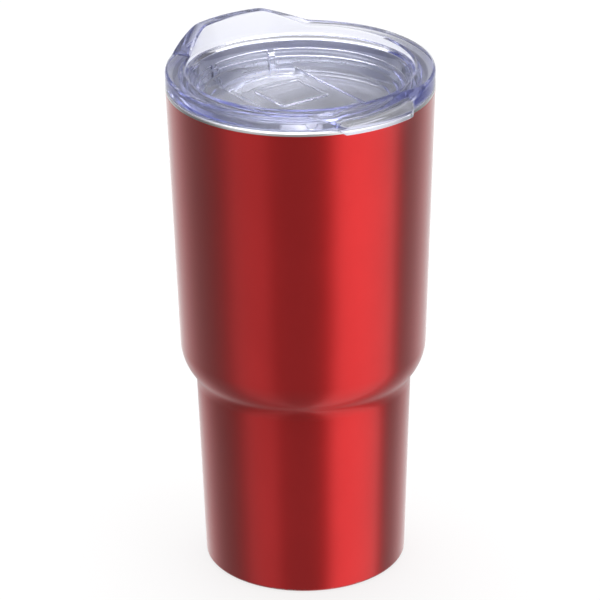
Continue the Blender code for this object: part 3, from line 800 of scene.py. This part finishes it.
def make_base():
    """The pressed base cup inside the foot, and the disc over its middle."""
    top_z, sheet_t, port_r, dimple_r = 2.8 * MM, 0.6 * MM, 1.5 * MM, 6.5 * MM
    radius, low_z, high_z = base_high.x, base_low.z, base_high.z
    top = [
        (port_r, high_z, 0.15 * MM),
        (dimple_r, high_z, 1.0 * MM),
        (dimple_r + 1.5 * MM, top_z, 1.0 * MM),
        (radius, top_z, 1.2 * MM),
        (radius, low_z, 0),
    ]
    bottom = [
        (radius - sheet_t, low_z, 0),
        (radius - sheet_t, top_z - sheet_t, 0.6 * MM),
        (dimple_r + 1.0 * MM, top_z - sheet_t, 1.0 * MM),
        (dimple_r - sheet_t, high_z - sheet_t, 1.0 * MM),
        (port_r, high_z - sheet_t, 0.15 * MM),
    ]
    cup = turned("base_cup", rounded(top, 5) + rounded(bottom, 5))
    rim, low, high = cover_high.x, cover_low.z, cover_high.z
    hub, ring, step = 0.4 * MM, 24.0 * MM, 0.2 * MM
    outline = [
        (hub, high, 0),
        (rim, high, 0.2 * MM),
        (rim, low, 0.25 * MM),
        (ring + step, low, 0.3 * MM),
        (ring, low + step, 0.3 * MM),
        (hub, low + step, 0),
    ]
    disc = turned_disc("base_disc", rounded(outline, 4))
    return cup, disc


# ---------------------------------------------------------------- lid


def ease(value):
    """From 0 to 1 along an S-shaped curve, and flat outside."""
    value = min(max(value, 0.0), 1.0)
    return value * value * (3 - 2 * value)


def ramp(value, start, end, bend):
    """From 0 at start to 1 at end in a straight line, with each corner rounded over a width of bend."""
    slope = 1 / (end - start)

    def bent(distance):
        if abs(distance) < bend / 2:
            return (distance + bend / 2) ** 2 / (2 * bend)
        return max(distance, 0.0)

    return slope * (bent(value - start) - bent(value - end))


def away_from(angle_deg, centre_deg):
    """Degrees between two directions, from 0 to 180."""
    return abs((angle_deg - centre_deg + 180) % 360 - 180)


def lid_section(angle_deg):
    """The lid's outline at one angle, from the deck out, down the outside and back underneath."""
    off_spout = away_from(angle_deg, 90.0)
    off_tab = away_from(angle_deg, -90.0)
    rise = 1 - ramp(off_spout, SPOUT_FLAT_DEG, SPOUT_END_DEG, SPOUT_BEND_DEG)
    push = 1 - ease((off_tab - TAB_FLAT_DEG) / (TAB_END_DEG - TAB_FLAT_DEG))
    scoop = 1 - ease((off_tab - TAB_FLAT_DEG) / (SCOOP_END_DEG - TAB_FLAT_DEG))
    lift = SPOUT_RISE * rise
    reach, drop = TAB_REACH * push, TAB_DROP * push
    seat, out = LID_SEAT_Z, LID_R
    recess = [
        (CHANNEL_R, DECK_Z, 0),
        (29.5 * MM, DECK_Z, 0.35 * MM),
        (31.4 * MM, 166.6 * MM, 0.35 * MM),
        (32.2 * MM, 166.7 * MM, 0.3 * MM),
        (33.2 * MM, 168.4 * MM, 0.35 * MM),
        (34.0 * MM, 168.5 * MM, 0.3 * MM),
        (36.3 * MM, 173.6 * MM, 0.2 * MM),
        (36.7 * MM, 173.8 * MM, 0.2 * MM),
    ]
    top = [
        (37.4 * MM + 2.4 * MM * rise, LID_TOP_Z - 0.4 * MM + lift, 0.5 * MM),
        (38.2 * MM + 2.2 * MM * rise, LID_TOP_Z + lift, 0.6 * MM),
        (43.2 * MM - 3.2 * MM * scoop, LID_TOP_Z + lift, 0.5 * MM),
        (43.8 * MM + 1.5 * MM * push, LID_TOP_Z - 0.3 * MM + lift - 3.1 * MM * scoop, 0.3 * MM),
        (out + reach, LID_TOP_Z - 0.9 * MM + lift - 3.2 * MM * scoop, 0.3 * MM),
    ]
    flange_under = [
        (out + reach, seat + 0.6 * MM - drop, 0.3 * MM),
        (out - 0.4 * MM + reach, seat - drop, 0.2 * MM),
        (out - 0.7 * MM + 1.05 * MM * push, seat - drop, 0),
        (out - 1.1 * MM + 1.4 * MM * push, seat, 0),
        (SKIRT_R + 0.4 * MM, seat, 0.2 * MM),
    ]
    skirt = [
        (SKIRT_R, seat - 0.4 * MM, 0.2 * MM),
        (SKIRT_R, GROOVE_HIGH_Z, 0.15 * MM),
        (GROOVE_R, GROOVE_HIGH_Z, 0.15 * MM),
        (GROOVE_R, GROOVE_LOW_Z, 0.15 * MM),
        (SKIRT_R, GROOVE_LOW_Z, 0.15 * MM),
        (SKIRT_R - 0.2 * MM, SKIRT_LOW_Z + 0.5 * MM, 0.2 * MM),
        (SKIRT_R - 0.7 * MM, SKIRT_LOW_Z, 0.2 * MM),
        (SKIRT_IN_R + 0.6 * MM, SKIRT_LOW_Z, 0.2 * MM),
        (SKIRT_IN_R + 0.1 * MM, SKIRT_LOW_Z + 0.5 * MM, 0.2 * MM),
    ]
    under = [
        (SKIRT_IN_R, 168.0 * MM, 0.2 * MM),
        (36.45 * MM, 168.6 * MM, 0.2 * MM),
        (36.0 * MM, 168.2 * MM, 0.2 * MM),
        (33.9 * MM, 165.0 * MM, 0.5 * MM),
        (29.8 * MM, LID_UNDER_Z, 0.5 * MM),
        (CHANNEL_R, LID_UNDER_Z, 0),
    ]
    return rounded(recess + top + flange_under + skirt + under, 3)


def round_slot(mid_r, half, half_deg):
    """A slot bent round the Z axis and centred on +Y, with round ends."""
    steps = 16
    first, last = 90.0 - half_deg, 90.0 + half_deg
    low_end = (mid_r * cos(radians(first)), mid_r * sin(radians(first)))
    high_end = (mid_r * cos(radians(last)), mid_r * sin(radians(last)))
    outline = arc(mid_r + half, first, last, steps)
    outline += arc(half, last, last + 180.0, steps, high_end)[1:-1]
    outline += arc(mid_r - half, last, first, steps)
    outline += arc(half, first + 180.0, first + 360.0, steps, low_end)[1:-1]
    return outline


def channel_outline(half_width, radius=CHANNEL_R):
    """A round pocket kept only within half_width of X = 0."""
    corner = degrees(acos(half_width / radius))
    back = arc(radius, corner, 180.0 - corner, 40)
    return back + arc(radius, 180.0 + corner, 360.0 - corner, 40)


def mouth_cutter():
    """Opens the deck over the channel, with coned ends that run into the recess's slope."""
    cone, end_gap = 0.585, 0.2 * MM
    low = RAIL_TOP_Z - 0.8 * MM
    layers = []
    for z, widening in flare_layers(low, DECK_Z, 0.25 * MM):
        radius = CHANNEL_R - end_gap + cone * (z - low)
        layers.append((z, channel_outline(MOUTH_HALF + widening, radius)))
    return piled("mouth", layers)


def gate_cutter():
    """The half-round notch that the moulding gate leaves in the flange's outer face."""
    turn = radians(GATE_DEG)
    half_round = arc(GATE_R, 0, 180, 24)
    notch = slab("gate_notch", half_round, -GATE_DEPTH, GATE_DEPTH, 0.15 * MM)
    notch.location = (LID_R * cos(turn), LID_R * sin(turn), GATE_Z)
    notch.rotation_euler = (pi / 2, pi, turn + pi / 2)
    return notch


def make_lid():
    """One clear moulding: a skin over the section at every angle, two gussets, and what is cut out."""
    rings = []
    for side in range(LID_SIDES):
        angle = 360.0 * side / LID_SIDES
        turn = radians(angle)
        rings.append([(r * cos(turn), r * sin(turn), z) for r, z in lid_section(angle)])
    lid = lofted("clear_lid", rings)
    steps = []
    for name, angle in (("left", 90.0 + GUSSET_DEG), ("right", 90.0 - GUSSET_DEG)):
        rib = block(
            f"gusset_{name}",
            (GUSSET_R, -GUSSET_T / 2, GUSSET_LOW_Z),
            (SKIRT_IN_R + 0.5 * MM, GUSSET_T / 2, GUSSET_HIGH_Z),
            0.15 * MM,
        )
        rib.rotation_euler.z = radians(angle)
        steps.append(("UNION", rib))
    rails = straight("rails", channel_outline(RAIL_HALF), LID_FLOOR_Z, RAIL_TOP_Z)
    hole_outline = round_slot(HOLE_MID_R, HOLE_HALF, HOLE_HALF_DEG)
    hole = straight("hole", hole_outline, LID_UNDER_Z - 1.0 * MM, LID_FLOOR_Z + 0.6 * MM)
    vent = drum("vent", VENT_R, VENT_CUT, VENT_SIDES)
    vent.location = (0, VENT_Y, LID_FLOOR_Z)
    steps += [("DIFFERENCE", cutter) for cutter in (rails, mouth_cutter(), hole, vent, gate_cutter())]
    return combine(lid, steps)


def make_seal_ring():
    """Silicone ring in the skirt's groove, with two lips that wipe the liner."""
    low, high, lip = seal_low.z, seal_high.z, seal_high.x
    root, body = GROOVE_R + 0.3 * MM, lip - 0.6 * MM
    mid = (low + high) / 2
    outline = rounded(
        [
            (root, high, 0.2 * MM),
            (body, high, 0.3 * MM),
            (lip, high - 0.3 * MM, 0.12 * MM),
            (lip, high - 0.6 * MM, 0.12 * MM),
            (body, mid, 0.3 * MM),
            (lip, low + 0.6 * MM, 0.12 * MM),
            (lip, low + 0.3 * MM, 0.12 * MM),
            (body, low, 0.3 * MM),
            (root, low, 0.2 * MM),
        ],
        4,
    )
    return turned("seal_ring", outline)


# ---------------------------------------------------------------- slider


def front_y(x, inset):
    """Where the slider's front edge, which fits the channel's end when it is closed, crosses x."""
    return sqrt((FLANGE_R - inset) ** 2 - x**2) - CLOSE_TRAVEL


def slider_loop(right_corners, inset, arc_half):
    """A closed outline: the right-hand corners, tail first, the front edge, then the left-hand corners."""
    radius = FLANGE_R - inset
    spread = degrees(asin(arc_half / radius))
    front = arc(radius, 90.0 - spread, 90.0 + spread, 24, (0.0, -CLOSE_TRAVEL))
    left_corners = [(-x, y, corner) for x, y, corner in reversed(right_corners)]
    return rounded(right_corners + [(x, y, 0) for x, y in front] + left_corners, 8)


def flange_outline():
    corners = [
        (FLANGE_HALF, plate_low.y, TAIL_CORNER),
        (FLANGE_HALF, front_y(FLANGE_HALF, 0.0), NOSE_CORNER),
    ]
    return slider_loop(corners, 0.0, FLANGE_HALF - 2.0 * NOSE_CORNER)


def plate_outline():
    """The upper plate: its front corners are cut away, which leaves a nose narrower than the thumb pad."""
    corners = [
        (PLATE_HALF, plate_low.y + PLATE_STEP, TAIL_CORNER),
        (PLATE_HALF, SHOULDER_Y, NOSE_CORNER),
        (NOSE_HALF, front_y(NOSE_HALF, PLATE_STEP), NOSE_CORNER),
    ]
    return slider_loop(corners, PLATE_STEP, NOSE_HALF - NOSE_CORNER)


def seal_outline(margin=0.0):
    """The seal's slot, which covers the drinking hole when the slider is closed."""
    slot = round_slot(HOLE_MID_R, SEAL_HALF + margin, HOLE_HALF_DEG)
    return [(x, y - CLOSE_TRAVEL) for x, y in slot]


def pad_outline(rim, corner):
    """The thumb pad, drawn in by rim on every side."""
    half, tail_y, nose_y = PAD_HALF - rim, PAD_TAIL_Y + rim, PAD_FRONT_Y - rim
    places = ((half, tail_y), (half, nose_y), (-half, nose_y), (-half, tail_y))
    return rounded([(x, y, corner) for x, y in places], 8)


def make_slider():
    """A flange that runs under the channel's rails, a plate on it, and a thumb pad with a sunk middle."""
    overlap, seal_gap, top_z = 0.5 * MM, 0.3 * MM, plate_high.z
    plate = slab("slider", flange_outline(), plate_low.z, FLANGE_TOP_Z, 0.12 * MM)
    top = slab("top", plate_outline(), FLANGE_TOP_Z - overlap, PLATE_TOP_Z, 0.2 * MM)
    pad = slab("pad", pad_outline(0.0, 0.9 * MM), PLATE_TOP_Z - overlap, top_z, 0.22 * MM)
    sunk = flared("sunk", pad_outline(PAD_RIM, 0.6 * MM), top_z - PAD_SINK, top_z, 0.15 * MM)
    pocket_top_z = slider_seal_high.z + seal_gap
    pocket = straight("pocket", seal_outline(seal_gap), plate_low.z - 1.0 * MM, pocket_top_z)
    return combine(plate, [("UNION", top), ("UNION", pad), ("DIFFERENCE", sunk), ("DIFFERENCE", pocket)])


def make_slider_seal():
    return slab("slider_pad", seal_outline(), slider_seal_low.z, slider_seal_high.z, 0.08 * MM)


# ---------------------------------------------------------------- build


def settle(piece, body, slot, material, *nodes):
    """Gives a piece its material and the body it rides on, and hides the CAD nodes it stands for. The slot
    is not used.
    """
    piece.data.materials.clear()
    piece.data.materials.append(material)
    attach(piece, body)
    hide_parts(*nodes)


def repaint(node, material):
    """Gives a CAD node that keeps its own mesh another material."""
    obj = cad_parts[node]
    obj.data.materials.clear()
    obj.data.materials.append(material)


def main():
    add_camera()
    add_world()
    add_floor()
    add_lamp()
    bpy.context.scene.view_settings.view_transform = "Standard"
    allow_long_light_paths()

    steel = liner_steel()
    base_steel = spun_steel("base_steel", (0.58, 0.58, 0.59), 0.3)
    clear = clear_plastic("clear_plastic", 0.02, 19.0)
    slider_clear = clear_plastic("slider_plastic", 0.04, 8.0)
    soft = silicone()

    settle(make_body_shell(), "cup", "coated_steel", red_lacquer(), "outer_wall")
    settle(make_liner(), "cup", "liner_steel", steel, "liner_wall")
    settle(make_liner_bottom(), "cup", "liner_steel", steel, "liner_bottom")
    cup, disc = make_base()
    settle(cup, "cup", "base_steel", base_steel, "outer_base")
    settle(disc, "cup", "base_steel", base_steel, "base_cover")
    repaint("liner_foil", copper_foil())
    repaint("vacuum_plug", sealing_bead())
    repaint("getter", sintered_getter())
    repaint("getter_clip", base_steel)

    settle(make_lid(), "lid", "clear_plastic", clear, "lid_body")
    settle(make_seal_ring(), "lid", "silicone", soft, "lid_seal")
    settle(make_slider(), "slider", "clear_plastic", slider_clear, "slider_plate")
    settle(make_slider_seal(), "slider", "silicone", soft, "slider_seal")


main()
